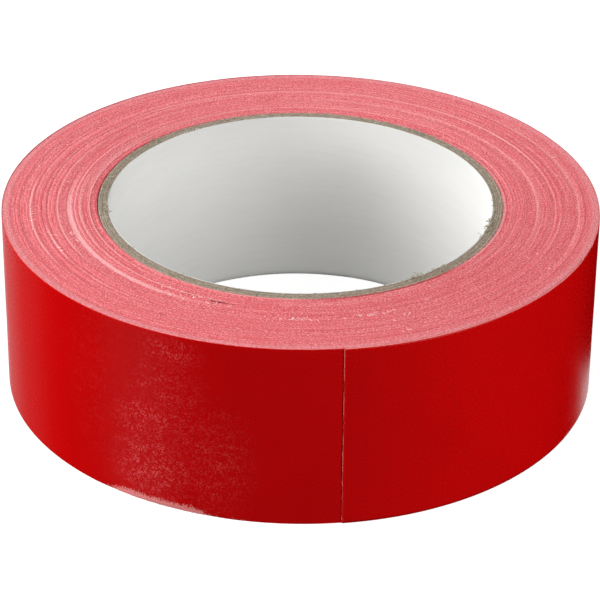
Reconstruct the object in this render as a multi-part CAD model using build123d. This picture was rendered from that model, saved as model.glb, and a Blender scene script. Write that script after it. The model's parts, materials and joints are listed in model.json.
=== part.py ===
from build123d import *

import os
from math import cos, degrees, radians, sin

# A roll of cloth-backed adhesive tape on a plied paper core, lying on one side.
#
# The frame's origin is the middle of the lower side, +Z runs along the roll's axis, and azimuths
# turn from +X towards +Y. The strip is one laminate of three layers, wound inwards from its cut
# end in half turns. Its first stretch is a tab that peels off the turn below, segment by segment.
# Sizes are in millimetres, angles in degrees.

# ---- Driving dimensions ----

# Strip: a plastic film outside, woven cloth in the middle, adhesive inside.
tape_width = 38.0  # of the slit roll, core and smeared sides included
film_thickness = 0.08
cloth_thickness = 0.10
adhesive_thickness = 0.06
edge_smear = 0.02  # adhesive that slitting drew over each side of the roll
strip_turns = 79.5  # a whole number of half turns
cut_end_azimuth = -82.0

# Core: a white paper liner and plies of grey board, glued face to face.
core_bore_diameter = 76.8
liner_thickness = 0.15
board_thickness = 0.48
board_plies = 4

# Peeling tab: equal segments of the strip's free end, each hinged on its outer face.
tab_arc = 54.0
tab_segments = 6
hinge_gap = 0.05  # between one segment and the next, along the strip
release_gap = 0.02  # between the tab's adhesive and the turn below it

# ---- Derived sizes ----

pitch = film_thickness + cloth_thickness + adhesive_thickness
half_turns = round(2 * strip_turns)
core_bore_radius = core_bore_diameter / 2
core_radius = core_bore_radius + liner_thickness + board_plies * board_thickness

# Each half turn is an arc about one of two centres, a quarter pitch either side of the axis, so
# that the strip moves in by half a pitch at each change of centre and stays tangent to itself.
centre_shift = pitch / 4
inner_end_radius = core_radius + pitch
first_arc_radius = inner_end_radius + half_turns * pitch / 2 - centre_shift
roll_radius = first_arc_radius + centre_shift

segment_arc = tab_arc / tab_segments
gap_arc = degrees(hinge_gap / roll_radius)  # hinge_gap as an angle

# Depth of each layer's outer and inner face below the strip's outer face.
layers = {
    "film": (0.0, film_thickness),
    "cloth": (film_thickness, film_thickness + cloth_thickness),
    "adhesive": (film_thickness + cloth_thickness, pitch),
}


# ---- Strip geometry ----


def on_circle(centre, radius, azimuth):
    """The point at an azimuth on a circle in the plane of the lower side."""
    return centre + Vector(cos(radians(azimuth)), sin(radians(azimuth))) * radius


def arc_centre(half_turn):
    """Centre of one half turn, counted inwards from the cut end."""
    side = 1 if half_turn % 2 == 0 else -1
    return on_circle(Vector(0, 0), side * centre_shift, cut_end_azimuth)


def strip_arc(half_turn, depth, start, end):
    """The part of one half turn that lies between two angles from the cut end, at a depth
    below the strip's outer face."""
    centre = arc_centre(half_turn)
    radius = first_arc_radius - half_turn * pitch / 2 - depth
    angles = (start, (start + end) / 2, end)
    return ThreePointArc(*(on_circle(centre, radius, cut_end_azimuth + a) for a in angles))


def strip_face(depth, start, end):
    """The strip's line at a depth, as arcs, from one angle to another along the strip."""
    arcs = []
    for half_turn in range(half_turns):
        low = max(start, 180 * half_turn)
        high = min(end, 180 * (half_turn + 1))
        if high > low:
            arcs.append(strip_arc(half_turn, depth, low, high))
    return arcs


def strip_length(start, end):
    """Length of the strip's middle line between two angles from the cut end."""
    return sum(arc.length for arc in strip_face(pitch / 2, start, end))


def wound_layer(outer_depth, inner_depth, start, end):
    """One layer of the strip between two angles from the cut end, as a solid."""
    outer = strip_face(outer_depth, start, end)
    inner = strip_face(inner_depth, start, end)
    ends = [Line(outer[0] @ 0, inner[0] @ 0), Line(outer[-1] @ 1, inner[-1] @ 1)]
    outline = Wire.combine([*outer, ends[1], *inner, ends[0]])[0]
    layer = extrude(Face(outline), amount=tape_width - 2 * edge_smear, dir=(0, 0, 1))
    return Pos(0, 0, edge_smear) * layer


def turn_outline(depth, start):
    """One full turn of the strip's line at a depth, closed by the step between its ends."""
    turn = strip_face(depth, start, start + 360)
    return Wire.combine([*turn, Line(turn[-1] @ 1, turn[0] @ 0)])[0]


def side_smear(start, end):
    """The thin ring of adhesive over the edges of all the turns on the lower side."""
    ring = Face(turn_outline(0.0, start), [turn_outline(pitch, end - 360)])
    return extrude(ring, amount=edge_smear, dir=(0, 0, 1))


# ---- Pieces ----


def wound_strip():
    """The stuck-down strip, from the tab's root to its inner end on the core."""
    root = tab_arc + gap_arc / 2
    inner_end = 180 * half_turns
    pieces = {
        f"wound_{layer}": wound_layer(outer, inner, root, inner_end)
        for layer, (outer, inner) in layers.items()
    }
    smear = side_smear(root, inner_end)
    both = [smear, Pos(0, 0, tape_width - edge_smear) * smear]
    pieces["wound_adhesive"] = pieces["wound_adhesive"].fuse(*both)
    return pieces


def peeling_tab():
    """The free end, segment by segment from its root to the cut end."""
    pieces = {}
    for number in range(1, tab_segments + 1):
        root_end = tab_arc - (number - 1) * segment_arc - gap_arc / 2
        free_end = tab_arc - number * segment_arc
        if number < tab_segments:
            free_end += gap_arc / 2
        for layer, (outer, inner) in layers.items():
            lift = release_gap if layer == "adhesive" else 0.0
            solid = wound_layer(outer, inner - lift, free_end, root_end)
            pieces[f"tab_{layer}_{number}"] = solid
    return pieces


def tube(inner_radius, thickness):
    """A plain tube as long as the roll is wide."""
    ring = Circle(inner_radius + thickness) - Circle(inner_radius)
    return extrude(ring, amount=tape_width)


def paper_core():
    """The liner, then the board plies from the bore outwards."""
    pieces = {"core_liner": tube(core_bore_radius, liner_thickness)}
    for number in range(1, board_plies + 1):
        inner_radius = core_bore_radius + liner_thickness + (number - 1) * board_thickness
        pieces[f"core_board_{number}"] = tube(inner_radius, board_thickness)
    return pieces


def hinge_points():
    """Where each tab segment hinges on the piece before it: on the strip's outer face."""
    angles = [tab_arc - number * segment_arc for number in range(tab_segments)]
    return [
        on_circle(arc_centre(0), first_arc_radius, cut_end_azimuth + angle) for angle in angles
    ]


# ---- Output ----


def main():
    os.makedirs("parts", exist_ok=True)
    pieces = {**paper_core(), **wound_strip(), **peeling_tab()}
    for name, solid in pieces.items():
        solid.label = name
        export_step(solid, f"parts/{name}.step")

    print(f"{len(pieces)} nodes, pitch {pitch:.3f}, core radius {core_radius:.3f}")
    print(f"roll radius {roll_radius:.3f}, strip {strip_length(0, 180 * half_turns) / 1000:.2f} m")
    print(f"tab {strip_length(0, tab_arc):.2f} long")
    for number, point in enumerate(hinge_points(), start=1):
        print(f"hinge {number}: {point.X:.4f}, {point.Y:.4f}")


if __name__ == "__main__":
    main()
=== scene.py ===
import json
import math

import bpy
import numpy as np
from mathutils import Matrix, Vector


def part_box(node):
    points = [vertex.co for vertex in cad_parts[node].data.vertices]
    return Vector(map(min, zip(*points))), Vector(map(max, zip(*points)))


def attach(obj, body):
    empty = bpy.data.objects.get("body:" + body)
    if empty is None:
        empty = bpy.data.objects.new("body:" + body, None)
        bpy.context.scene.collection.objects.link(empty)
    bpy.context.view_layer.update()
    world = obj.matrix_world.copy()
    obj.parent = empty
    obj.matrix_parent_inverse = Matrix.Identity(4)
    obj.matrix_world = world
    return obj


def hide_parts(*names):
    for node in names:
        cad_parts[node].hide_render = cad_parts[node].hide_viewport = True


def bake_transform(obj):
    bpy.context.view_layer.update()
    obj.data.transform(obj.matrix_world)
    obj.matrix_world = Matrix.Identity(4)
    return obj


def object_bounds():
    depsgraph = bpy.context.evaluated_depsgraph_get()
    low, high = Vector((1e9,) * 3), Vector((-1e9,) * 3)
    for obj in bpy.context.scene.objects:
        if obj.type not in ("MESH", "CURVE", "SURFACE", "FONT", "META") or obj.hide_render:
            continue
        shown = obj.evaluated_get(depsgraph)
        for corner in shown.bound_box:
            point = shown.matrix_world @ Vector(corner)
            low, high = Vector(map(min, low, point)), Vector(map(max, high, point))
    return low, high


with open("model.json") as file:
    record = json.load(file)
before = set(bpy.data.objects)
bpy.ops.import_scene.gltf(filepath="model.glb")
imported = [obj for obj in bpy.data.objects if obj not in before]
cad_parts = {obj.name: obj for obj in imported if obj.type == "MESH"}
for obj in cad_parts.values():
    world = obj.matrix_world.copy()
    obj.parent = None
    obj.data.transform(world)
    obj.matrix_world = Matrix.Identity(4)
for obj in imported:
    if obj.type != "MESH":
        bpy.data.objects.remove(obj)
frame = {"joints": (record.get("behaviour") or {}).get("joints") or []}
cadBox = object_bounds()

# A roll of cloth-backed tape on a plied paper core. Sizes are in metres, unless a name or a note
# says mm, and angles in degrees. Patterns are worked out in millimetres.
mm = 0.001
rng = np.random.default_rng(38)

rollWidth = cadBox[1][2] - cadBox[0][2]
hinges = [joint for joint in frame["joints"] if joint["type"] == "hinge"]

# The strip is wound inwards in half turns about two centres, a quarter of its thickness from the axis.
strip = {
    "film": 0.08 * mm,
    "cloth": 0.10 * mm,
    "adhesive": 0.06 * mm,
    "cutEndAngle": -82.0,
    "tabArc": 54.0,
    "halfTurns": 159,
    "release": 0.02 * mm,  # between the tab and the turn below
}
linerThickness = 0.15 * mm
stripThickness = strip["film"] + strip["cloth"] + strip["adhesive"]
centreShift = stripThickness / 4
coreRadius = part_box("core_board_4")[1].x
boreRadius = -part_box("core_liner")[0].x - linerThickness
firstArc = coreRadius + stripThickness * (1 + strip["halfTurns"] / 2) - centreShift
rollRadius = firstArc + centreShift
segmentArc = strip["tabArc"] / len(hinges)


def stripPoints(along, depth):
    # points on the strip, by degrees along it from the cut end and depth below its outer face
    along, depth = np.broadcast_arrays(np.asarray(along, float), np.asarray(depth, float))
    half = np.floor(along / 180)
    side = np.where(half % 2 == 0, 1, -1) * centreShift
    radius = firstArc - half * stripThickness / 2 - depth
    cut = math.radians(strip["cutEndAngle"])
    angle = np.radians(strip["cutEndAngle"] + along)
    x = side * math.cos(cut) + radius * np.cos(angle)
    y = side * math.sin(cut) + radius * np.sin(angle)
    return x, y


def smoothNoise(count, step):
    # one smooth random value per sample, about -1 to 1, changing over some steps
    knots = max(4, int(count / step) + 3)
    values = rng.uniform(-1, 1, knots)
    where = np.linspace(0, knots - 1, count)
    low = np.minimum(np.floor(where).astype(int), knots - 2)
    t = where - low
    t = t * t * (3 - 2 * t)
    return values[low] * (1 - t) + values[low + 1] * t


def smoothField(rows, columns, rowStep, columnStep):
    # the same over a grid
    rowKnots = max(3, int(rows / rowStep) + 2)
    columnKnots = max(3, int(columns / columnStep) + 2)
    knots = rng.uniform(-1, 1, (rowKnots, columnKnots))
    r = np.linspace(0, rowKnots - 1.001, rows)
    c = np.linspace(0, columnKnots - 1.001, columns)
    ri, ci = r.astype(int), c.astype(int)
    rt, ct = r - ri, c - ci
    rt, ct = rt * rt * (3 - 2 * rt), ct * ct * (3 - 2 * ct)
    upper = knots[ri][:, ci] * (1 - ct) + knots[ri][:, ci + 1] * ct
    lower = knots[ri + 1][:, ci] * (1 - ct) + knots[ri + 1][:, ci + 1] * ct
    return upper * (1 - rt[:, None]) + lower * rt[:, None]


def makeMesh(name, points, faces, look, maps=None, smooth=True):
    # maps holds one array of UV pairs per layer, a pair for each face corner
    mesh = bpy.data.meshes.new(name)
    points = np.asarray(points, float).reshape(-1, 3)
    faces = np.asarray(faces, int)
    sides = faces.shape[1]
    mesh.vertices.add(len(points))
    mesh.vertices.foreach_set("co", points.ravel())
    mesh.loops.add(faces.size)
    mesh.loops.foreach_set("vertex_index", faces.ravel())
    mesh.polygons.add(len(faces))
    mesh.polygons.foreach_set("loop_start", np.arange(0, faces.size, sides))
    mesh.polygons.foreach_set("use_smooth", np.full(len(faces), smooth))
    mesh.update(calc_edges=True)
    for layer, pairs in (maps or {}).items():
        mesh.uv_layers.new(name=layer).data.foreach_set("uv", np.asarray(pairs, float).ravel())
    mesh.materials.append(look)
    mesh.validate()
    piece = bpy.data.objects.new(name, mesh)
    bpy.context.scene.collection.objects.link(piece)
    return piece


def gridFaces(rows, columns, first=0, flip=False):
    # quads over a grid of points stored row by row
    r, c = np.meshgrid(np.arange(rows - 1), np.arange(columns - 1), indexing="ij")
    a = (first + r * columns + c).ravel()
    quads = np.stack([a, a + 1, a + columns + 1, a + columns], 1)
    return quads[:, ::-1] if flip else quads


def cornerPairs(faces, u, v):
    # UV pairs for each face corner, from values at the points
    return np.stack([np.ravel(u)[faces], np.ravel(v)[faces]], -1).reshape(-1, 2)


def tubeAlong(path, radius, sides=5):
    # points and quads of a thin closed tube whose thickness tapers to its ends
    path = np.asarray(path, float)
    ahead = np.gradient(path, axis=0)
    ahead /= np.linalg.norm(ahead, axis=1)[:, None] + 1e-12
    guide = np.where(np.abs(ahead[:, 2:3]) < 0.9, [[0, 0, 1.0]], [[1.0, 0, 0]])
    across = np.cross(ahead, guide)
    across /= np.linalg.norm(across, axis=1)[:, None] + 1e-12
    upward = np.cross(ahead, across)
    t = np.linspace(0, 1, len(path))
    width = radius * np.clip(np.minimum(t, 1 - t) * 6, 0.25, 1)
    turn = np.arange(sides) * 2 * math.pi / sides
    ring = (across[:, None] * np.cos(turn)[None, :, None]
            + upward[:, None] * np.sin(turn)[None, :, None])
    points = path[:, None] + ring * width[:, None, None]
    i, j = np.meshgrid(np.arange(len(path) - 1), np.arange(sides), indexing="ij")
    a, b = i * sides + j, i * sides + (j + 1) % sides
    quads = np.stack([a, b, b + sides, a + sides], -1).reshape(-1, 4)
    return points.reshape(-1, 3), quads


def fibreMesh(name, paths, radii, look):
    # one piece from many thin tubes
    points, faces, count = [], [], 0
    for path, radius in zip(paths, radii):
        more, quads = tubeAlong(path, radius)
        points.append(more)
        faces.append(quads + count)
        count += len(more)
    return makeMesh(name, np.concatenate(points), np.concatenate(faces), look)


class Sock:
    # one node's output, so that shader maths reads as a plain expression
    def __init__(self, nodes, out):
        self.nodes, self.out = nodes, out

    def math(self, operation, *values):
        return self.nodes.node("ShaderNodeMath", {"operation": operation}, dict(enumerate(values)))

    def __add__(self, other):
        return self.math("ADD", self, other)

    def __sub__(self, other):
        return self.math("SUBTRACT", self, other)

    def __rsub__(self, other):
        return self.math("SUBTRACT", other, self)

    def __mul__(self, other):
        return self.math("MULTIPLY", self, other)

    def __truediv__(self, other):
        return self.math("DIVIDE", self, other)

    def __pow__(self, other):
        return self.math("POWER", self, other)

    __radd__ = __add__
    __rmul__ = __mul__

    def sine(self):
        return self.math("SINE", self)

    def least(self, other):
        return self.math("MINIMUM", self, other)

    def most(self, other):
        return self.math("MAXIMUM", self, other)

    def fraction(self):
        return self.math("FRACT", self)

    def floor(self):
        return self.math("FLOOR", self)

    def rise(self, low, high):
        # 0 below low, 1 above high, smooth between
        return self.nodes.node("ShaderNodeMapRange", {"interpolation_type": "SMOOTHSTEP"},
                              {"Value": self, "From Min": low, "From Max": high})

    def within(self, low, high, soft):
        # 1 between low and high, with soft sides
        return self.rise(low - soft, low + soft) * (1 - self.rise(high - soft, high + soft))


class Nodes:
    # adds nodes to the tree of a material or a world
    def __init__(self, owner):
        owner.use_nodes = True
        self.tree = owner.node_tree

    def node(self, kind, settings=None, sockets=None, out=0):
        new = self.tree.nodes.new(kind)
        for key, value in (settings or {}).items():
            setattr(new, key, value)
        for key, value in (sockets or {}).items():
            if isinstance(value, Sock):
                self.tree.links.new(value.out, new.inputs[key])
            else:
                new.inputs[key].default_value = value
        return Sock(self, new.outputs[out]) if new.outputs else None

    def noise(self, vector, scale, detail=2.0, rough=0.5):
        sockets = {"Vector": vector, "Scale": scale, "Detail": detail, "Roughness": rough}
        return self.node("ShaderNodeTexNoise", {}, sockets)

    def place(self):
        return self.node("ShaderNodeTexCoord", out="Object")

    def placeMm(self):
        return self.node("ShaderNodeVectorMath", {"operation": "SCALE"}, {0: self.place(), "Scale": 1 / mm})

    def map(self, layer):
        return self.node("ShaderNodeUVMap", {"uv_map": layer})

    def parts(self, vector):
        split = self.node("ShaderNodeSeparateXYZ", {}, {0: vector})
        return [Sock(self, out) for out in split.out.node.outputs]

    def join(self, x=0.0, y=0.0, z=0.0):
        return self.node("ShaderNodeCombineXYZ", {}, {0: x, 1: y, 2: z})

    def mix(self, first, second, share):
        # sockets 0, 6 and 7 and output 2 are the ones for colours
        return self.node("ShaderNodeMix", {"data_type": "RGBA"}, {0: share, 6: first, 7: second}, 2)

    def bump(self, height, distance):
        return self.node("ShaderNodeBump", {}, {"Height": height, "Distance": distance})


class Look(Nodes):
    # a material with one principled shader
    def __init__(self, name, **constants):
        self.material = bpy.data.materials.new(name)
        super().__init__(self.material)
        self.shader = self.tree.nodes["Principled BSDF"]
        for socket, value in constants.items():
            self.shader.inputs[socket.replace("_", " ")].default_value = value

    def feed(self, **links):
        for socket, value in links.items():
            self.tree.links.new(value.out, self.shader.inputs[socket.replace("_", " ")])
        return self.material


def rgb(r, g, b):
    return (r, g, b, 1.0)


def stripCoordinates(look):
    # millimetres along the strip and across it; the map is in tenths of a metre
    u, v, _ = look.parts(look.map("strip"))
    return u * 100, v * 100


film = {
    "colour": rgb(0.62, 0.0006, 0.0012),
    "colourDeep": rgb(0.50, 0.0004, 0.0008),
    # the next two colours are a painted sheen and painted glints on the rubbed patches
    "sheenHazeColour": rgb(0.66, 0.014, 0.020),
    "glintSpeckColour": rgb(1.0, 0.17, 0.18),
    "edgeHighlightColour": rgb(0.92, 0.20, 0.20),  # a painted highlight along the cut and the upper edge
    "cutWidthMm": 0.07,
    "scuffColours": (rgb(1.0, 0.13, 0.14), rgb(1.0, 0.56, 0.52)),
    "specular": 0.35,
    "roughness": 0.27,
    "addedByRubbing": 0.08,  # to the roughness
    "scuffRoughness": 0.85,
    "threadsPerMm": 2.0,
    # how close together the painted glint specks sit
    "glintSpecksPerMm": 3.6,
    "threadRelief": 0.006 * mm,
    # rubbed patches, rougher and with a painted sheen and painted glints: azimuth, height in mm, half width
    # in degrees, half height in mm, strength
    "rubbedAndSheenPatches": [(-118.0, 8.0, 9.0, 9.0, 1.0), (-118.0, 18.0, 9.0, 6.0, 0.75),
                      (-114.0, 34.0, 7.0, 5.0, 0.55), (-115.0, 25.0, 9.0, 10.0, 0.40),
                      (-106.0, 12.0, 9.0, 14.0, 0.35), (-129.0, 22.0, 9.0, 24.0, 0.08),
                      (-74.0, 19.0, 5.0, 19.0, 0.07)],
    # scuffs at the lower edge: first and last azimuth, height in mm
    "scuffs": [(-128.5, -104.0, 1.45), (-103.0, -97.0, 0.35)],
    "nick": (-17.0, 0.9, 0.5 * mm),  # azimuth, half width in degrees, depth
}


def stripLength(azimuth):
    # millimetres along the outermost turn, from the cut end to an azimuth
    along = math.radians((azimuth - strip["cutEndAngle"]) % 360)
    return along * (rollRadius - stripThickness / 2) / mm


def rubbedAndSheenMask(along, across):
    # how rubbed the film is, and how strong its painted sheen, from soft oval patches
    rubbedAndSheen = None
    for azimuth, height, halfWidth, halfHeight, strength in film["rubbedAndSheenPatches"]:
        acrossFrom = (along - stripLength(azimuth)) / (math.radians(halfWidth) * rollRadius / mm)
        upFrom = (across - height) / halfHeight
        near = 1 - (acrossFrom * acrossFrom + upFrom * upFrom) ** 0.5
        patch = near.rise(-0.25, 0.85) * strength
        rubbedAndSheen = patch if rubbedAndSheen is None else rubbedAndSheen.most(patch)
    return rubbedAndSheen


def rubbedFilmWithSheen(look, colour, rough, plan, threadGrid, threads):
    # a painted sheen and painted glint specks that follow the threads, and rougher film, where the film has
    # rubbed against something
    along, across = plan
    a, c = threadGrid
    rubbedAndSheen = rubbedAndSheenMask(along, across)
    blotch = look.noise(look.join(along * 0.30, across * 0.55), 1.0, 4.0, 0.65)
    fineness = film["glintSpecksPerMm"]
    cell = look.join((along * fineness).floor(), (across * fineness).floor())
    chance = look.node("ShaderNodeTexWhiteNoise", {"noise_dimensions": "2D"}, {"Vector": cell})
    rows = look.noise(look.join(along * 0.10, (c - 0.25).floor() * 0.7), 1.0, 1.0)
    columns = look.noise(look.join((a - 0.25).floor() * 0.7, across * 0.10), 1.0, 1.0)
    rubbedSheen = (rubbedAndSheen * (0.55 + blotch.rise(0.36, 0.66) * 0.60)).least(1.0)
    patchy = blotch.rise(0.34, 0.66) * 0.45
    patchy = patchy + rows.rise(0.35, 0.65) * 0.35 + columns.rise(0.35, 0.65) * 0.20
    glintSpeck = chance.rise(0.50, 0.95) * threads * rubbedSheen * (0.20 + patchy * 1.10)
    # painted sheen, then painted glints
    colour = look.mix(colour, film["sheenHazeColour"], rubbedSheen * 0.22)
    colour = look.mix(colour, film["glintSpeckColour"], (glintSpeck * 0.85).least(0.7))
    return colour, rough + rubbedSheen * film["addedByRubbing"]


def scuffMask(look, along, across, grain, scuff):
    # 1 where the film is torn off its cloth, up to a ragged height
    first, last, tall = scuff
    start, end = stripLength(first), stripLength(last)
    teeth = look.noise(look.join(along * 4.5, across * 1.4), 1.0, 4.0, 0.8) - 0.5
    ragged = look.noise(look.join(along * 0.7, across * 0.5), 1.0, 3.0, 0.7) - 0.5
    reach = along.within(start + 2.5, end - 3.5, 3.0) * tall
    bare = (reach + ragged * 1.8 + teeth * 4.0 - across - 0.15).rise(-0.05, 0.15)
    return bare * along.within(start, end, 0.3) * (0.55 + grain.rise(0.30, 0.55) * 0.45)


def filmLook(name, worn):
    look = Look(name, Specular_IOR_Level=film["specular"])
    along, across = stripCoordinates(look)
    flat = look.join(along, across)
    # the cloth's threads show through the film, here and there more than elsewhere
    waver = look.noise(flat, 0.35, 2.0) - 0.5
    a = (along + waver * 0.5) * film["threadsPerMm"]
    c = (across + waver * 0.35) * film["threadsPerMm"]
    lengthwise = (c * (2 * math.pi)).sine() * 0.5 + 0.5
    crosswise = (a * (2 * math.pi)).sine() * 0.5 + 0.5
    showing = look.noise(flat, 0.09, 3.0, 0.6).rise(0.38, 0.62)
    uneven = look.noise(flat, 1.6, 3.0, 0.6)
    height = (lengthwise * 0.6 + crosswise * 0.4) * (0.25 + showing * 0.75) + uneven * 0.2
    colour = look.mix(film["colour"], film["colourDeep"], (1 - lengthwise * crosswise) * 0.15)
    colour = look.mix(colour, film["colourDeep"], look.noise(flat, 0.05, 2.0).rise(0.4, 0.7) * 0.25)
    # a painted highlight along the upper edge of the film
    upperEdgeHighlight = across.rise(rollWidth / mm - 0.06, rollWidth / mm)
    colour = look.mix(colour, film["edgeHighlightColour"], upperEdgeHighlight * 0.9)
    rough = film["roughness"] + (uneven - 0.5) * 0.08
    # worn film: real scuffs, and rubbed patches with a painted sheen and painted glints
    if worn:
        threads = 0.40 + lengthwise * 0.35 + crosswise * 0.25
        colour, rough = rubbedFilmWithSheen(look, colour, rough, (along, across), (a, c), threads)
        grain = look.noise(flat, 7.0, 2.0, 0.6)
        for scuff in film["scuffs"]:
            bare = scuffMask(look, along, across, grain, scuff)
            colour = look.mix(colour, look.mix(*film["scuffColours"], grain.rise(0.38, 0.66)), bare)
            rough = rough * (1 - bare) + bare * film["scuffRoughness"]
            height = height - bare * 1.2 + bare * grain * 2.0
    else:
        # a painted highlight along the cut, where the cut edge catches the light from the left
        nick = look.noise(look.join(across * 1.3), 1.0, 3.0, 0.7)
        cutHighlight = 1 - (along - (nick - 0.5) * 0.10).rise(film["cutWidthMm"] * 0.6, film["cutWidthMm"])
        colour = look.mix(colour, film["edgeHighlightColour"], cutHighlight * (nick.rise(0.30, 0.60) * 0.6 + 0.4))
    return look.feed(Base_Color=colour, Roughness=rough,
                     Normal=look.bump(height, film["threadRelief"]))


side = {
    "cloth": rgb(0.87, 0.210, 0.235),
    "adhesive": rgb(0.77, 0.125, 0.150),
    "filmEdge": rgb(0.62, 0.03, 0.04),
    "pale": rgb(0.97, 0.52, 0.52),
    "dark": rgb(0.42, 0.06, 0.075),
    # the next two colours are painted shade: a near-black shadow in a crease, and the film's red darkened
    # in gaps between turns
    "creaseShade": rgb(0.13, 0.018, 0.016),
    "gap": rgb(0.42, 0.004, 0.010),
    "handled": rgb(0.85, 0.33, 0.35),  # the outermost turns, greyed by handling
    "handledMm": 1.5,
    "roughness": 0.62,
    "relief": 0.07 * mm,
    # arcs: radius and width in mm, middle azimuth, half spread in degrees, strength
    # pale arcs: paler turn edges, with a painted highlight where turns stand proud towards the lights
    "paleHighlightArcs": [(46.1, 0.9, -153, 45, 0.75), (45.0, 0.25, 170, 60, 0.6), (44.1, 0.3, -150, 55, 0.9),
                 (42.2, 0.25, 180, 75, 0.7), (53.9, 0.25, -170, 22, 0.9), (51.3, 0.25, -158, 10, 0.7),
                 (48.5, 0.35, 178, 40, 0.5), (40.9, 0.3, -60, 120, 0.6), (55.6, 0.3, 20, 60, 0.5),
                 (51.0, 0.6, 75, 75, 0.45), (47.4, 0.5, 35, 70, 0.5), (43.3, 0.35, 100, 80, 0.5)],
    "darkArcs": [(46.9, 0.2, -50, 60, 0.35),
                 (52.5, 0.2, -120, 40, 0.25), (57.9, 0.2, 140, 80, 0.25)],
    # painted shadow along a crease
    "creaseShadeArcs": [(44.75, 0.42, -109, 3.6, 1.0), (44.4, 0.25, -116, 3.0, 0.6)],
    "gapArcs": [(40.85, 0.40, -64, 30, 0.9), (40.85, 0.3, 165, 40, 0.6)],  # turns that stand off, with the film's red darkened as painted shade in the gap
}


def arcMask(radius, x, y, arc):
    # 1 along one arc, fading to its ends
    middle, width, azimuth, spread, strength = arc
    turned = x * math.cos(math.radians(azimuth)) + y * math.sin(math.radians(azimuth))
    facing = (turned / radius).rise(math.cos(math.radians(spread)), math.cos(math.radians(spread * 0.3)))
    return radius.within(middle - width / 2, middle + width / 2, width * 0.35) * facing * strength


def sideLook(name):
    # the slit side: edges of film and cloth under a smear of adhesive, turn after turn
    look = Look(name, Specular_IOR_Level=0.2)
    place = look.placeMm()
    x, y, z = look.parts(place)
    radius = (x * x + y * y) ** 0.5
    azimuth = y.math("ARCTAN2", y, x)
    turns = (rollRadius / mm - radius) * (mm / stripThickness)
    layer = (turns - azimuth / (2 * math.pi) + strip["cutEndAngle"] / 360).fraction()
    coarse = look.noise(place, 1.3, 3.0, 0.65)
    specks = look.noise(place, 2.9, 2.0, 0.6)
    fine = look.noise(place, 6.0, 2.0, 0.65)
    lines = look.noise(look.join(turns * 1.1, azimuth * 1.2, z), 1.0, 2.0, 0.7)
    bands = look.noise(look.join(turns * 0.22, azimuth * 0.5, z), 1.0, 2.0, 0.6)
    strands = look.noise(look.join(turns * 1.9, azimuth * 9.0, z), 1.0, 2.0, 0.6)
    colour = look.mix(side["adhesive"], side["cloth"], (coarse * 0.5 + strands * 0.5).rise(0.34, 0.58))
    colour = look.mix(colour, side["filmEdge"], (1 - strands.rise(0.30, 0.44)) * 0.30)
    colour = look.mix(colour, side["pale"], strands.rise(0.56, 0.70) * 0.30)
    colour = look.mix(colour, side["filmEdge"], (1 - layer.rise(0.22, 0.42)) * 0.50)
    colour = look.mix(colour, side["pale"], lines.rise(0.54, 0.70) * 0.32 + bands.rise(0.52, 0.72) * 0.15)
    colour = look.mix(colour, side["dark"], (1 - lines.rise(0.28, 0.44)) * 0.20)
    colour = look.mix(colour, side["dark"], (1 - specks.rise(0.38, 0.47)) * 0.60)
    colour = look.mix(colour, side["pale"], specks.rise(0.55, 0.65) * 0.55)
    wobble = radius + (coarse - 0.5) * 0.5
    # paler turn edges with a painted highlight
    for arc in side["paleHighlightArcs"]:
        colour = look.mix(colour, side["pale"], arcMask(wobble, x, y, arc) * (0.25 + specks * 1.2))
    # darker arcs, then painted shade in the crease and in the gaps
    for kind in ("dark", "creaseShade", "gap"):
        for arc in side[f"{kind}Arcs"]:
            colour = look.mix(colour, side[kind], arcMask(wobble, x, y, arc))
    handledFrom = rollRadius / mm - side["handledMm"]
    handled = wobble.rise(handledFrom - 0.4, handledFrom + 0.3)
    worn = look.noise(look.join(azimuth * 95, turns * 1.1, z), 1.0, 4.0, 0.75)
    colour = look.mix(colour, side["handled"], handled * (0.10 + worn * 0.60))
    colour = look.mix(colour, side["pale"], handled * worn.rise(0.52, 0.62) * 0.70)
    colour = look.mix(colour, side["dark"], handled * (1 - worn.rise(0.38, 0.46)) * 0.60)
    rough = side["roughness"] + (fine - 0.5) * 0.35
    height = coarse + specks * 0.9 + fine * 0.4 + handled * worn
    return look.feed(Base_Color=colour, Roughness=rough, Normal=look.bump(height, side["relief"]))


adhesive = {
    "colour": rgb(0.72, 0.14, 0.165),
    "pale": rgb(0.86, 0.33, 0.34),
    "roughness": 0.34,
    "relief": 0.03 * mm,
}


def adhesiveLook(name):
    look = Look(name, Specular_IOR_Level=0.5)
    along, across = stripCoordinates(look)
    flat = look.join(along, across)
    waver = look.noise(flat, 0.4, 2.0) - 0.5
    pick = 2 * math.pi * film["threadsPerMm"]
    weave = ((across + waver * 0.3) * pick).sine() * ((along + waver * 0.3) * pick).sine()
    smear = look.noise(flat, 0.25, 4.0, 0.6)
    colour = look.mix(adhesive["colour"], adhesive["pale"], weave * 0.25 + smear * 0.8)
    rough = adhesive["roughness"] + smear * 0.3
    return look.feed(Base_Color=colour, Roughness=rough,
                     Normal=look.bump(weave * 0.5 + smear, adhesive["relief"]))


fibres = {
    # name: darkest and palest colour
    "clothThreads": (rgb(0.80, 0.26, 0.28), rgb(0.95, 0.66, 0.64)),
    "paleFibre": (rgb(0.16, 0.13, 0.085), rgb(0.66, 0.58, 0.45)),
    "whiteFluff": (rgb(0.74, 0.72, 0.68), rgb(0.88, 0.87, 0.84)),
    "whiteThread": (rgb(0.95, 0.62, 0.60), rgb(1.0, 0.88, 0.85)),
}


def fibreLook(name):
    look = Look(name, Specular_IOR_Level=0.2, Sheen_Weight=0.25)
    fibre = look.noise(look.placeMm(), 5.0, 3.0, 0.7)
    return look.feed(Base_Color=look.mix(*fibres[name], fibre.rise(0.3, 0.7)),
                     Roughness=0.75 + fibre * 0.2, Normal=look.bump(fibre, 0.03 * mm))


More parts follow.
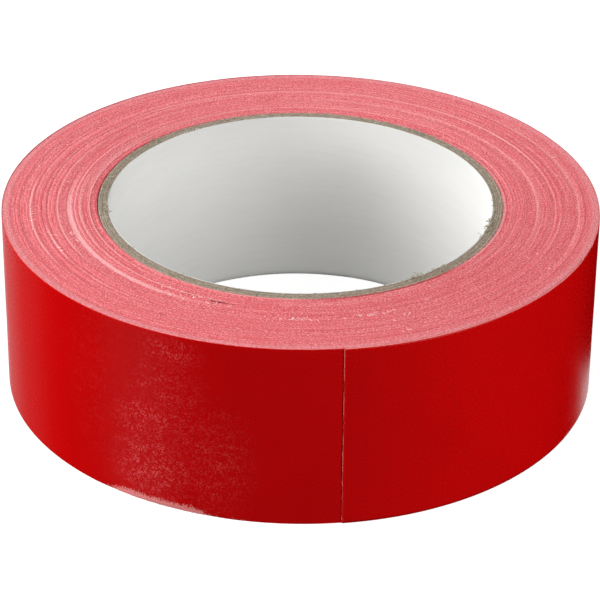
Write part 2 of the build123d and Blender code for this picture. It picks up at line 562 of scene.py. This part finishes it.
core = {
    "board": rgb(0.290, 0.240, 0.180),
    "boardPale": rgb(0.60, 0.51, 0.41),
    "boardDark": rgb(0.120, 0.090, 0.064),
    "boardTints": (0.35, 0.9, 0.45, 1.0),  # how pale each ply is, from the liner outwards
    "liner": rgb(0.745, 0.74, 0.72),
    "linerShade": rgb(0.70, 0.695, 0.675),
    "plyThickness": 0.48 * mm,
    "glueLine": 0.012 * mm,  # left free on each face of a ply
    "samples": 540,
    "linerRaggedMm": 0.10,
    "boardRaggedMm": 0.12,
}


def roundTheCore(look):
    # millimetres round the core, out from its axis and up
    x, y, z = look.parts(look.placeMm())
    return y.math("ARCTAN2", y, x) * (coreRadius / mm), (x * x + y * y) ** 0.5, z


def boardLook(name, tint):
    look = Look(name, Specular_IOR_Level=0.15)
    arc, radius, z = roundTheCore(look)
    place = look.placeMm()
    streak = look.noise(look.join(radius * 9.0, arc * 0.8, z * 1.5), 1.0, 4.0, 0.7)
    blotch = look.noise(place, 0.55, 3.0, 0.6)
    fibre = look.noise(place, 2.6, 3.0, 0.75)
    colour = look.mix(core["board"], core["boardPale"], streak.rise(0.40, 0.66) * tint)
    colour = look.mix(colour, core["boardDark"], (1 - fibre.rise(0.34, 0.50)) * 0.75)
    colour = look.mix(colour, core["boardPale"], (blotch * 0.5 + fibre * 0.5).rise(0.54, 0.66) * 0.60)
    return look.feed(Base_Color=colour, Roughness=0.82 + (fibre - 0.5) * 0.2,
                     Normal=look.bump(fibre + streak * 0.6, 0.10 * mm))


def linerLook(name):
    look = Look(name, Specular_IOR_Level=0.3)
    arc, _, tall = roundTheCore(look)
    streak = look.noise(look.join(arc * 0.10, tall * 0.9), 1.0, 4.0, 0.6)
    cloud = look.noise(look.join(arc * 0.08, tall * 0.12), 1.0, 3.0, 0.6)
    fibre = look.noise(look.join(arc * 3.0, tall * 5.0), 1.0, 3.0, 0.7)
    colour = look.mix(core["linerShade"], core["liner"], streak.rise(0.30, 0.62) * 0.4 + cloud * 0.6)
    rough = 0.55 + (fibre - 0.5) * 0.2
    height = streak * 0.20 + fibre * 0.25 + cloud * 0.5
    return look.feed(Base_Color=colour, Roughness=rough, Normal=look.bump(height, 0.05 * mm))


print("materials")
# the outer turn's film: scuffs, and rubbed patches with a painted sheen and painted glints
filmWornAndSheen = filmLook("redFilmWornAndSheen", True)
filmClean = filmLook("redFilm", False)
slitSide = sideLook("slitSide")
adhesiveSide = adhesiveLook("tackyAdhesive")
boardLooks = [boardLook(f"greyBoard{ply}", tint) for ply, tint in enumerate(core["boardTints"], 1)]
linerPaper = linerLook("whiteLiner")
fibreLooks = {name: fibreLook(name) for name in fibres}


wound = {
    "samplesPerTurn": 380,
    "linesPerTurn": (0.0, 0.36, 0.76),  # groove, film edge, adhesive, as shares of the thickness
    "lineLift": (-0.030 * mm, 0.0, -0.012 * mm),
    "filmLap": 0.09 * mm,  # the outermost turn's side starts inside its film
    "deepestBand": 0.16 * mm,
    "sunkBand": 0.10 * mm,  # added to some of the bands
    "sunkShare": 0.22,
    "wallColumns": 721,
    "wallRows": 61,
    "startAlong": strip["tabArc"] + segmentArc / 2,
    "endAlong": 180.0 * strip["halfTurns"],
}


def bandHeights(turns, seed):
    # how far each band of turns sits below the highest one
    draw = np.random.default_rng(seed)
    edges = np.cumsum(draw.uniform(0.7, 5.2, 60))
    levels = draw.uniform(0.0, 1.0, 61) * wound["deepestBand"]
    levels[draw.uniform(0, 1, 61) < wound["sunkShare"]] += wound["sunkBand"]
    index = np.searchsorted(edges, turns)
    below = np.where(index > 0, edges[np.maximum(index - 1, 0)], 0)
    t = np.clip((turns - below) / 0.5, 0, 1)
    t = t * t * (3 - 2 * t)
    return levels[np.maximum(index - 1, 0)] * (1 - t) + levels[index] * t


def woundSide(name, upper, seed):
    # the edges of all the turns on one side, followed along the strip
    perTurn = wound["samplesPerTurn"]
    step = 360.0 / perTurn
    count = int((wound["endAlong"] - wound["startAlong"]) / step)
    draw = np.random.default_rng(seed)
    face = rollWidth if upper else 0.0
    inward = -1 if upper else 1
    lines, indices, total = [], [], 0
    for number, share in enumerate(wound["linesPerTurn"]):
        length = count + perTurn if number == 0 else count
        along = wound["startAlong"] + np.arange(length) * step
        depth = np.full(length, share * stripThickness)
        depth[: perTurn + 1] += wound["filmLap"] * (1 - share)
        x, y = stripPoints(along, depth)
        turns = (rollRadius - np.hypot(x, y)) / stripThickness
        drop = bandHeights(turns + 0.5 * np.sin(np.radians(along % 360) + seed), seed)
        drop = drop * (0.75 + 0.25 * np.sin(np.radians(2 * (along % 360)) + turns * 0.3))
        drop += np.abs(draw.normal(0, 0.006, length)) * mm - wound["lineLift"][number]
        wholeTurn = draw.normal(0, 0.016, 90)[(along // 360).astype(int)] * mm
        drop += np.clip(wholeTurn, -0.02 * mm, 0.05 * mm)
        lines.append(np.stack([x, y, face + inward * np.maximum(drop, 0)], 1))
        indices.append(total + np.arange(length))
        total += length
    quads = []
    i = np.arange(count - 1)
    for outer, inner, ahead in [(0, 1, 0), (1, 2, 0), (2, 0, perTurn)]:
        quads.append(np.stack([indices[outer][i], indices[outer][i + 1],
                               indices[inner][i + 1 + ahead], indices[inner][i + ahead]], 1))
    quads = np.concatenate(quads)
    if not upper:
        quads = quads[:, ::-1]
    points = np.concatenate(lines)
    plan = points[:, :2] / (2.04 * rollRadius) + 0.5
    # short skirts close the gap beside the film and beside the core
    rims = [(indices[0][: perTurn + 1], 0.5 * mm, False, 0.50),
            (indices[0][-perTurn - 1:], 2.5 * mm, True, 0.62)]
    for rim, deep, turned, shrink in rims:
        base = len(points)
        lowered = points[rim].copy()
        lowered[:, 2] += inward * deep
        points = np.concatenate([points, lowered])
        plan = np.concatenate([plan, (plan[rim] - 0.5) * shrink + 0.5])
        j = np.arange(len(rim) - 1)
        skirt = np.stack([rim[j], base + j, base + j + 1, rim[j + 1]], 1)
        quads = np.concatenate([quads, skirt[:, ::-1] if turned == upper else skirt])
    maps = {"OFBake": cornerPairs(quads, plan[:, 0], plan[:, 1])}
    return makeMesh(name, points, quads, slitSide, maps)


def filmWall(name):
    # the outermost turn, and the turn that the tab lies on
    columns, rows = wound["wallColumns"], wound["wallRows"]
    along = wound["startAlong"] + np.linspace(0, 360.0, columns)
    # rows crowd towards both edges, where the detail is
    swing = np.cos(math.pi * np.linspace(0, 1, rows))
    height = 0.5 - 0.5 * swing * (0.15 + 0.85 * np.abs(swing) ** 0.2)
    height = np.clip(height, 0, 1)
    relief = smoothField(rows, columns, 8, 26) * 0.018 * mm
    relief += smoothField(rows, columns, 3, 60) * 0.008 * mm
    rim = np.minimum(height, 1 - height) * rollWidth
    roll = np.where(height > 0.5, 0.05, 0.015) * mm * np.exp(-rim / (0.25 * mm))
    chips = np.abs(smoothNoise(columns, 1.6)) * 0.04 * mm
    azimuth = (strip["cutEndAngle"] + along + 180) % 360 - 180
    low, high, _ = film["scuffs"][0]
    scuffed = ((azimuth > low) & (azimuth < high)).astype(float)
    wear = np.convolve(scuffed, np.ones(9) / 9, mode="same")
    lowRim = np.exp(-height * rollWidth / (0.7 * mm))
    scrape = 0.07 * mm + 0.05 * mm * rng.uniform(-1, 1, (rows, columns))
    depth = relief + roll[:, None] + lowRim[:, None] * wear[None] * scrape
    depth = np.maximum(depth, -0.01 * mm)
    z = np.repeat((height * rollWidth)[:, None], columns, 1)
    middle, halfWidth, deep = film["nick"]
    notch = np.clip(1 - np.abs(azimuth - middle) / halfWidth, 0, 1) * deep
    z -= notch[None] * np.exp(-(1 - height) * rollWidth / (1.2 * mm))[:, None]
    z[-1] -= chips
    z[0] += chips[::-1] * 0.3 + wear * 0.10 * mm * rng.uniform(0, 1, columns)
    # the film's own edge, as wide as its lap over the side
    lap = wound["filmLap"] * 1.2
    depth = np.concatenate([depth[:1] + lap, depth, depth[-1:] + lap])
    z = np.concatenate([z[:1], z, z[-1:]])
    height = np.concatenate([height[:1], height, height[-1:]])
    rows = len(height)
    x, y = stripPoints(along[None], depth)
    points = np.stack([x, y, z], -1).reshape(-1, 3)
    faces = gridFaces(rows, columns)
    length = np.radians(along) * (rollRadius - stripThickness / 2)
    stretch = np.repeat(length[None], rows, 0)
    maps = {"OFBake": rowedMap(faces, columns, height, 3),
            "strip": cornerPairs(faces, stretch * 10, z * 10)}
    return makeMesh(name, points, faces, filmWornAndSheen, maps)


def rowedMap(faces, columns, height, rowCount):
    # a long strip laid out in rows, one above another
    column = faces % columns
    first = column.min(1, keepdims=True)
    perRow = (columns - 1) / rowCount
    row = np.minimum((first / perRow).astype(int), rowCount - 1)
    u = (column - row * perRow) / perRow * 0.98 + 0.01
    v = (row + 0.02 + height[faces // columns] * 0.96) / rowCount
    return np.stack([u, v], -1).reshape(-1, 2)


print("wound strip")
upperSide = woundSide("slitSideUpper", True, 7)
lowerSide = woundSide("slitSideLower", False, 19)
wallPiece = filmWall("outerFilmTurn")
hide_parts("wound_adhesive", "wound_cloth")
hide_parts("wound_adhesive", "wound_cloth")
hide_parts("wound_film")
for piece, slotName in ((upperSide, "adhesive"), (lowerSide, "adhesive"), (wallPiece, "film")):
    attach(piece, "roll")


tab = {
    "columnsPerDegree": 2,
    "rows": 77,
    "bendArcs": (2.6, 2.6),  # degrees before and after a hinge
    "rootArcs": (0.3, 4.4),  # the same for the two hinges that lie on the roll
    "cutRaggedness": 0.10 * mm,
    "trims": {"film": 0.02 * mm, "cloth": 0.0, "adhesive": 0.05 * mm},  # at both sides
    "threadRadii": (0.014 * mm, 0.026 * mm),
}
layers = {
    "film": (0.0, strip["film"]),
    "cloth": (strip["film"], strip["film"] + strip["cloth"]),
    "adhesive": (strip["film"] + strip["cloth"], stripThickness - strip["release"]),
}
tabLooks = {
    "film": filmClean,
    "cloth": fibreLooks["clothThreads"],
    "adhesive": adhesiveSide,
}
cutLine = smoothNoise(tab["rows"], 2.0) * 0.6 + smoothNoise(tab["rows"], 9.0) * 0.8
cutLine = np.maximum(cutLine, -0.3) * tab["cutRaggedness"]


def tabPiece(layer, number):
    # one layer between the middles of the two segments that meet at a hinge
    outer, inner = layers[layer]
    hingeAlong = strip["tabArc"] - (number - 1) * segmentArc
    last = number == len(hinges)
    low = 0.0 if last else hingeAlong - segmentArc / 2
    high = hingeAlong + segmentArc / 2
    columns = int(round((high - low) * tab["columnsPerDegree"])) + 1
    rows = tab["rows"]
    along = np.repeat(np.linspace(low, high, columns)[None], rows, 0)
    if last:
        # the cut wanders a little across the strip
        fade = np.clip(1 - along / 1.5, 0, 1)
        along = along + fade * np.degrees(cutLine / rollRadius)[:, None]
    trim = tab["trims"][layer]
    z = np.repeat(np.linspace(trim, rollWidth - trim, rows)[:, None], columns, 1)
    shells, faces, count = [], [], 0
    for depth, flip in ((outer, False), (inner, True)):
        x, y = stripPoints(along, depth)
        shells.append(np.stack([x, y, z], -1).reshape(-1, 3))
        faces.append(gridFaces(rows, columns, count, flip))
        count += rows * columns
    # walls round the edge join the two faces; the ends inside the strip stay open
    grid = np.arange(rows * columns).reshape(rows, columns)
    rims = [grid[-1], grid[0][::-1]] + ([grid[:, 0][::-1]] if last else [])
    for rim in rims:
        a, b = rim[:-1], rim[1:]
        faces.append(np.stack([a, b, b + rows * columns, a + rows * columns], 1))
    points, quads = np.concatenate(shells), np.concatenate(faces)
    length = np.radians(along) * (rollRadius - stripThickness / 2)
    u = np.tile(length.ravel() * 10, 2)
    v = np.tile(z.ravel() * 10, 2)
    share = (along - low) / (high - low)
    bakeU = np.concatenate([share.ravel() * 0.48 + 0.01, share.ravel() * 0.48 + 0.51])
    bakeV = np.tile(z.ravel() / rollWidth * 0.98 + 0.01, 2)
    inside = len(gridFaces(rows, columns)) * 2
    bake = cornerPairs(quads, bakeU, bakeV).reshape(-1, 4, 2)
    bake[inside:, 2:, 0] = bake[inside:, [1, 0], 0] + 0.004
    bake[inside:, 2:, 1] = bake[inside:, [1, 0], 1]
    maps = {"OFBake": bake.reshape(-1, 2), "strip": cornerPairs(quads, u, v)}
    piece = makeMesh(f"tab{layer.capitalize()}{number}", points, quads, tabLooks[layer], maps)
    before, after = tab["rootArcs"] if number < 3 else tab["bendArcs"]
    ends = [stripPoints(hingeAlong + arc, 0.0) for arc in (before, -after)]
    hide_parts(f"tab_{layer}_{number}")
    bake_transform(piece)


def cutEndThreads(name):
    # thread ends that stand out of the cut
    paths, radii = [], []
    pitch = mm / film["threadsPerMm"]
    for place in np.arange(0.2 * mm, rollWidth - 0.1 * mm, pitch * 1.5):
        length = abs(rng.normal(0.02, 0.05)) * mm + 0.02 * mm
        steps = np.linspace(0.35 * mm, -length, 6)
        drift = rng.normal(0, 0.25) * np.clip(-steps, 0, None)
        depth = sum(layers["cloth"]) / 2 - np.clip(-steps, 0, None) * rng.uniform(0.0, 0.5)
        x, y = stripPoints(np.degrees(steps / rollRadius), 0)
        radial = np.stack([np.cos(np.arctan2(y, x)), np.sin(np.arctan2(y, x))], 1)
        spot = np.stack([x, y], 1) - radial * depth[:, None]
        z = place + drift + rng.normal(0, 0.03) * mm
        paths.append(np.column_stack([spot, np.full(6, 1.0) * z]))
        radii.append(rng.uniform(*tab["threadRadii"]))
    piece = fibreMesh(name, paths, radii, fibreLooks["clothThreads"])
    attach(piece, f"tab_{len(hinges)}")


print("peeling tab")
for number in range(1, len(hinges) + 1):
    for layer in layers:
        tabPiece(layer, number)
cutEndThreads("cutEndThreads")


def raggedEnd(draw, columns, raggedMm):
    # how far a slit end falls short, round the tube
    knots = np.arange(0, columns + 12, 12)
    coarse = np.interp(np.arange(columns), knots, draw.uniform(0, 1, len(knots)))
    fine = draw.uniform(0, 1, columns) ** 3
    values = (coarse * 0.6 + fine * 0.6) * raggedMm * mm
    values[-1] = values[0]
    return values


def coreTube(name, node, inner, outer, look, raggedMm, seed):
    # a ply with a slit, slightly fibrous end on each side
    draw = np.random.default_rng(seed)
    columns = core["samples"] + 1
    ease = min(0.06 * mm, (outer - inner) * 0.2)
    # radius and distance from the end, from the bore outwards
    profile = [(inner, 6 * mm), (inner, 2 * mm), (inner, 0.4 * mm), (inner, ease),
               (inner + ease, 0.0), ((inner + outer) / 2, 0.0), (outer - ease, 0.0),
               (outer, ease), (outer, 0.6 * mm)]
    rings = []
    for upper in (True, False):
        for radius, below in profile if upper else profile[::-1]:
            near = math.exp(-below / (0.25 * mm))
            z = below + raggedEnd(draw, columns, raggedMm) * near + 0.01 * mm
            spread = draw.normal(0, 0.006, columns) * mm * near
            spread[-1] = spread[0]
            rings.append((radius + spread, rollWidth - z if upper else z))
    rings.append(rings[0])
    angle = np.linspace(0, 2 * math.pi, columns)
    points = np.concatenate([np.stack([r * np.cos(angle), r * np.sin(angle), z], 1) for r, z in rings])
    faces = gridFaces(len(rings), columns, flip=True)
    lengths = [0.0]
    for (r0, z0), (r1, z1) in zip(rings, rings[1:]):
        run = math.hypot(float(np.mean(r1 - r0)), float(np.mean(z1 - z0)))
        lengths.append(lengths[-1] + max(run, 0.3 * mm))
    v = np.repeat((np.array(lengths) / lengths[-1])[:, None], columns, 1)
    u = np.repeat((angle / (2 * math.pi))[None], len(rings), 0)
    piece = makeMesh(name, points, faces, look, {"OFBake": cornerPairs(faces, u, v)})
    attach(piece, "roll")
    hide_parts(node)


loose = {
    # name: look, slot, a fibre's radius, how steeply it rises, and tufts: azimuth and spread,
    # innermost and outermost radius in mm, count, length in mm
    "linerFluff": ("whiteFluff", "liner", 0.08 * mm, 0.5, [
        (-4, 5, 38.3, 38.6, 16, 0.7), (128, 3, 38.3, 38.6, 10, 0.7),
    ]),
    "boardFuzz": ("paleFibre", "board", 0.085 * mm, 0.7, [
        (-55, 1.2, 38.3, 39.0, 16, 1.4), (-47, 1.5, 38.3, 39.4, 12, 1.1),
        (-16, 4.5, 38.3, 39.0, 34, 1.2), (52, 3, 38.4, 40.4, 16, 1.2),
        (143, 5, 38.5, 40.4, 24, 1.2), (170, 3, 38.5, 40.4, 20, 1.1),
        (-173, 3, 38.3, 39.2, 20, 1.2), (-60, 60, 38.5, 40.4, 70, 0.6),
        (120, 90, 38.5, 40.4, 80, 0.6),
    ]),
    "strayThreads": ("whiteThread", "cloth", 0.050 * mm, 0.18, [
        (-91.5, 2.8, 47.8, 48.4, 16, 1.0), (-74, 3.4, 47.6, 48.4, 16, 1.0),
        (-66, 0.6, 49.4, 50.2, 3, 0.9), (-69, 0.5, 55.4, 56.2, 3, 0.9),
        (-119, 6.0, 44.2, 46.4, 22, 1.3), (-159, 1.5, 46.6, 47.6, 5, 1.4),
        (-158, 3.0, 51.0, 51.6, 5, 1.2), (-171, 4.0, 53.6, 54.2, 6, 1.2),
        (150, 20, 43.0, 56.0, 9, 1.0), (40, 60, 43.0, 57.0, 18, 1.0),
        (-40, 20, 42.0, 57.0, 9, 1.0),
    ]),
}


def looseFibres(name, lookName, slotName, fibreRadius, rise, tufts):
    # short curled fibres that stand on the upper side, in tufts
    paths, radii = [], []
    for azimuth, spread, innerMm, outerMm, count, lengthMm in tufts:
        for _ in range(count):
            angle = math.radians(azimuth + rng.normal(0, spread))
            radius = rng.uniform(innerMm, outerMm) * mm
            length = rng.uniform(0.4, 1.0) * lengthMm * mm
            heading = rng.uniform(0, 2 * math.pi)
            curl = rng.normal(0, 1.3)
            root = (radius * math.cos(angle), radius * math.sin(angle), rollWidth - 0.08 * mm)
            path = [np.array(root)]
            for share in np.linspace(0, 1, 8)[:-1]:
                turn = heading + curl * share
                climb = rise * math.cos(share * 2.4)
                path.append(path[-1] + np.array([math.cos(turn), math.sin(turn), climb]) * length / 7)
            paths.append(np.array(path))
            radii.append(rng.uniform(0.6, 1.2) * fibreRadius)
    piece = fibreMesh(name, paths, radii, fibreLooks[lookName])
    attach(piece, "roll")


print("core")
coreTube("coreLiner", "core_liner", boreRadius, boreRadius + linerThickness, linerPaper,
         core["linerRaggedMm"], 3)
for ply, boardFinish in enumerate(boardLooks):
    inner = boreRadius + linerThickness + ply * core["plyThickness"]
    outer = inner + core["plyThickness"]
    coreTube(f"coreBoard{ply + 1}", f"core_board_{ply + 1}", inner + core["glueLine"],
             outer - core["glueLine"], boardFinish, core["boardRaggedMm"], 31 + ply)
for name, values in loose.items():
    looseFibres(name, *values)


view = {
    "target": (0.0, 0.0, rollWidth / 2),
    "distance": 9.5468 * rollRadius,
    "elevation": 28.936,
    "roll": 0.546,
    "lens": 168.34,
    "sensor": 36.0,
    "aimDown": 3.53 * mm,  # keeps the roll a little above the middle of the picture
    "aimRight": 0.10 * mm,
}


studio = {
    "worldColour": rgb(0.93, 0.94, 0.95),
    "lightFromAbove": 0.12,
    "lightFromBelow": 0.12,
    "worldSeen": 1.0,
    "boreGlow": 0.0055,  # what a lit floor would send up the bore
    "floorColours": (rgb(0.30, 0.30, 0.30), rgb(0.33, 0.33, 0.33)),
    "floorGlow": 0.88,
    "floorSize": 4.0,
    # name: azimuth and elevation in degrees, distance, size, power
    "softBoxes": {
        "keyLeft": (-175, 26, 0.80, 0.55, 8.6),
        "fillRight": (-38, 22, 0.80, 0.45, 4.8),
        "back": (115, 22, 0.80, 0.45, 4.0),
    },
    # name: azimuth, distance, width, lowest, highest, strength
    "glowCards": {
        "glowBehind": (105, 0.35, 0.16, -0.32, 0.08, 0.75),
        "glowBehindLeft": (127, 0.36, 0.12, -0.32, 0.08, 0.30),
        "glowLeft": (148, 0.37, 0.16, -0.32, 0.08, 0.10),
        "glowFrontLeft": (-148, 0.25, 0.10, -0.22, 0.0, 0.20),
        "glowNearRight": (48.5, 0.13, 0.075, -0.11, -0.055, 0.95),
    },
}


def setCamera():
    elevation, roll = math.radians(view["elevation"]), math.radians(view["roll"])
    back = Vector((0, -math.cos(elevation), math.sin(elevation)))
    upright = Vector((0, math.sin(elevation), math.cos(elevation)))
    right = Vector((1, 0, 0))
    place = Vector(view["target"]) + back * view["distance"]
    aim = Vector(view["target"]) - upright * view["aimDown"] + right * view["aimRight"]
    back = (place - aim).normalized()
    right = upright.cross(back).normalized()
    upright = back.cross(right)
    tiltedRight = right * math.cos(roll) + upright * math.sin(roll)
    tiltedUp = upright * math.cos(roll) - right * math.sin(roll)
    camera = bpy.data.cameras.new("camera")
    camera.lens, camera.sensor_width = view["lens"], view["sensor"]
    camera.clip_start, camera.clip_end = 0.01, 20.0
    holder = bpy.data.objects.new("camera", camera)
    axes = Matrix((tiltedRight, tiltedUp, back)).transposed().to_4x4()
    holder.matrix_world = Matrix.Translation(place) @ axes
    bpy.context.scene.collection.objects.link(holder)
    bpy.context.scene.camera = holder


def softBox(name, azimuth, elevation, distance, size, power):
    lamp = bpy.data.lights.new(name, "AREA")
    lamp.shape, lamp.size, lamp.energy = "SQUARE", size, power
    turn, rise = math.radians(azimuth), math.radians(elevation)
    toward = Vector((math.cos(turn) * math.cos(rise), math.sin(turn) * math.cos(rise), math.sin(rise)))
    holder = bpy.data.objects.new(name, lamp)
    holder.location = Vector(view["target"]) + toward * distance
    holder.rotation_euler = toward.to_track_quat("Z", "Y").to_euler()
    holder.visible_glossy = False
    bpy.context.scene.collection.objects.link(holder)


def glowCard(name, azimuth, distance, width, low, high, strength):
    # a card that only shows as a reflection in the film
    glow = bpy.data.materials.new(name)
    nodes = Nodes(glow)
    nodes.tree.nodes.clear()
    shine = nodes.node("ShaderNodeEmission", {}, {"Strength": strength})
    nodes.node("ShaderNodeOutputMaterial", {}, {"Surface": shine})
    angle = math.radians(azimuth)
    middle = Vector((math.cos(angle), math.sin(angle), 0)) * distance
    along = Vector((-math.sin(angle), math.cos(angle), 0)) * width / 2
    bottom, top = Vector((0, 0, low)), Vector((0, 0, high))
    points = [middle - along + bottom, middle + along + bottom,
              middle + along + top, middle - along + top]
    card = makeMesh(name, points, [[0, 1, 2, 3]], glow, smooth=False)
    card.visible_camera = card.visible_diffuse = card.visible_shadow = False
    card.visible_transmission = card.visible_volume_scatter = False


def setWorld():
    # pale to the eye, soft light from above and below, and dark to the gloss
    world = bpy.data.worlds.new("studio")
    bpy.context.scene.world = world
    world.cycles_visibility.glossy = False
    nodes = Nodes(world)
    nodes.tree.nodes.clear()
    upward = nodes.parts(nodes.node("ShaderNodeTexCoord", out="Generated"))[2]
    ends = {"From Min": -0.3, "From Max": 0.3,
            "To Min": studio["lightFromBelow"], "To Max": studio["lightFromAbove"]}
    light = nodes.node("ShaderNodeMapRange", {}, {"Value": upward, **ends})
    lit, seen = (
        nodes.node("ShaderNodeBackground", {}, {"Color": studio["worldColour"], "Strength": strength})
        for strength in (light, studio["worldSeen"])
    )
    cameraRay = nodes.node("ShaderNodeLightPath", out="Is Camera Ray")
    mixed = nodes.node("ShaderNodeMixShader", {}, {0: cameraRay, 1: lit, 2: seen})
    nodes.node("ShaderNodeOutputWorld", {}, {"Surface": mixed})


def boreLamp():
    # stands in for the light that the floor throws back up inside the bore
    lamp = bpy.data.lights.new("boreLamp", "AREA")
    lamp.shape, lamp.size, lamp.energy = "DISK", 1.96 * boreRadius, studio["boreGlow"]
    holder = bpy.data.objects.new("boreLamp", lamp)
    holder.location = (0, 0, 0.2 * mm)
    holder.rotation_euler = (math.pi, 0, 0)
    holder.visible_glossy = holder.visible_camera = False
    bpy.context.scene.collection.objects.link(holder)


def setFloor():
    # pale, a little bright of itself, and out of the object's light and reflections
    look = Look("paleFloor", Roughness=0.9, Specular_IOR_Level=0.0,
                Emission_Color=rgb(1, 1, 1), Emission_Strength=studio["floorGlow"])
    cloud = look.noise(look.place(), 3.0, 2.0)
    look.feed(Base_Color=look.mix(*studio["floorColours"], cloud))
    size, low = studio["floorSize"], -0.02 * mm
    corners = [(-size, -size, low), (size, -size, low), (size, size, low), (-size, size, low)]
    floor = makeMesh("floor", corners, [[0, 1, 2, 3]], look.material, smooth=False)
    floor.visible_glossy = floor.visible_diffuse = floor.visible_shadow = False


print("camera and lights")
setCamera()
setWorld()
setFloor()
boreLamp()
for name, values in studio["softBoxes"].items():
    softBox(name, *values)
for name, values in studio["glowCards"].items():
    glowCard(name, *values)

scene = bpy.context.scene
scene.view_settings.view_transform = "Standard"
scene.view_settings.look = "None"

print("sizes")
